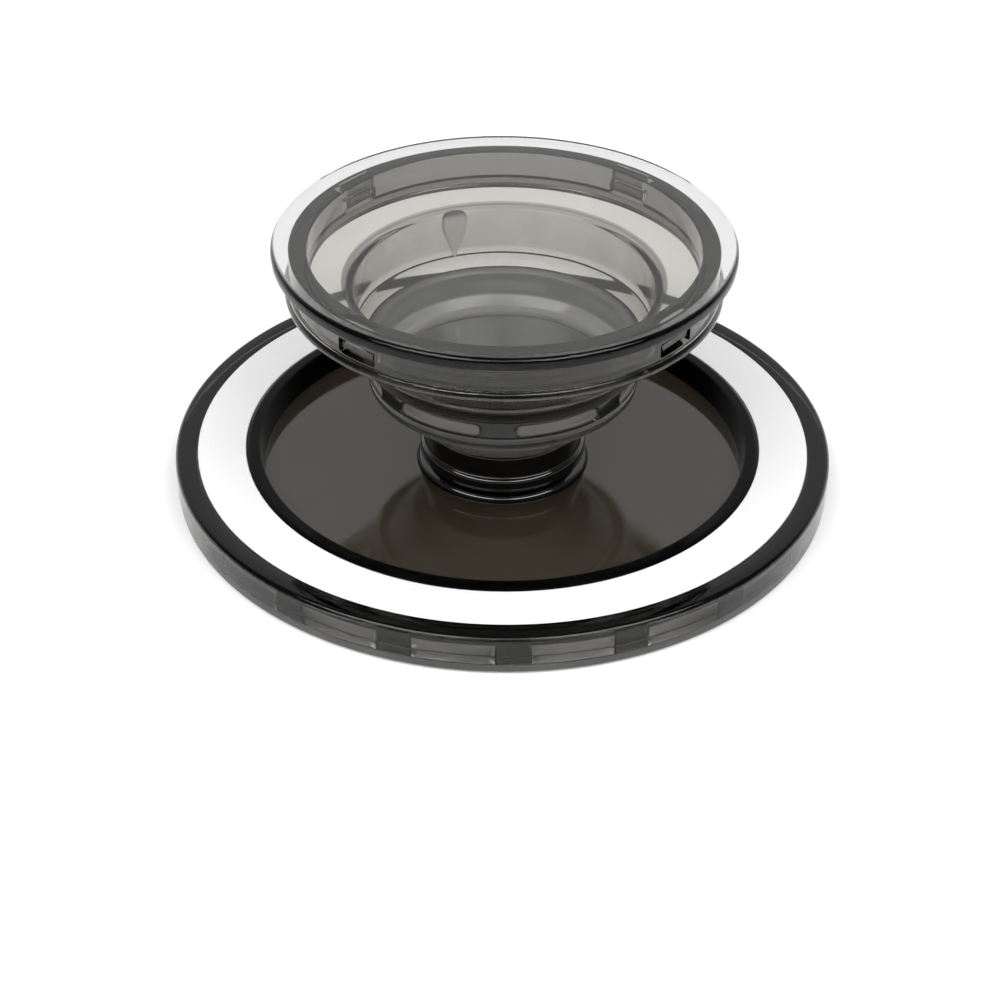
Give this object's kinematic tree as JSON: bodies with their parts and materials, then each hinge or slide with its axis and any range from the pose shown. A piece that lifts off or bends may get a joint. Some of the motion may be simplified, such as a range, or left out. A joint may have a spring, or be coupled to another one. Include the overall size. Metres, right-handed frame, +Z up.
{
  "type": "magnetic folding phone grip",
  "caption": "Round magnet-ring base with a shallow well and a telescoping grip of soft nested rings under a clear round top, shown pulled out.",
  "frame": {"origin": "centre of the base's underside, on the common axis of the base and the grip", "axes": "+Z up along the common axis, out of the base towards the clear top; -Y towards the viewer"},
  "size_m": [0.059, 0.059, 0.0238],
  "materials": {
    "smoky_plastic": "glossy smoke-tinted clear plastic",
    "smoky_cover": "smoke-tinted plastic",
    "soft_pad": "fine matt soft face",
    "black_plastic": "polished black",
    "carrier_plastic": "matt dark",
    "magnet_plate": "nickel plated",
    "steel": "bright fine-brushed",
    "brown_smoke_plastic": "polished warm smoke-tinted",
    "soft_dark": "smooth smoke-tinted elastomer, thick",
    "soft_light": "smooth smoke-tinted elastomer, thin",
    "clear_plastic": "polished clear",
    "clip_plastic": "dark smoke-tinted plastic"
  },
  "bodies": {
    "base": {"base_housing": "smoky_plastic", "bottom_cover": "smoky_cover", "contact_pad": "soft_pad", "magnet_carrier": "carrier_plastic", "magnet_01": "magnet_plate", "magnet_02": "magnet_plate", "magnet_03": "magnet_plate", "magnet_04": "magnet_plate", "magnet_05": "magnet_plate", "magnet_06": "magnet_plate", "magnet_07": "magnet_plate", "magnet_08": "magnet_plate", "magnet_09": "magnet_plate", "magnet_10": "magnet_plate", "magnet_11": "magnet_plate", "magnet_12": "magnet_plate", "magnet_13": "magnet_plate", "magnet_14": "magnet_plate", "magnet_15": "magnet_plate", "magnet_16": "magnet_plate", "magnet_17": "magnet_plate", "magnet_18": "magnet_plate", "steel_ring": "steel", "well_rim": "black_plastic", "well_floor": "brown_smoke_plastic"},
    "neck": {"neck": "black_plastic", "fold_lower": "soft_light"},
    "lower": {"lower_ring": "soft_dark", "fold_middle": "soft_light"},
    "middle": {"middle_ring": "soft_light", "fold_upper": "soft_light"},
    "grip_head": {"collar": "smoky_plastic", "top_disc": "clear_plastic", "snap_clips": "clip_plastic"}
  },
  "joints": [
    {"name": "neck_swivel", "type": "hinge", "parent": "base", "child": "neck", "pos_m": [0, 0, 0.0014], "axis": [0, 0, 1], "continuous": true},
    {"name": "lower_slide", "type": "slide", "parent": "neck", "child": "lower", "axis": [0, 0, 1], "range_m": [-0.0079, 0], "deforming": ["fold_lower"]},
    {"name": "middle_slide", "type": "slide", "parent": "lower", "child": "middle", "axis": [0, 0, 1], "range_m": [-0.0048, 0], "deforming": ["fold_middle"]},
    {"name": "head_slide", "type": "slide", "parent": "middle", "child": "grip_head", "axis": [0, 0, 1], "range_m": [-0.0029, 0], "deforming": ["fold_upper"]}
  ]
}
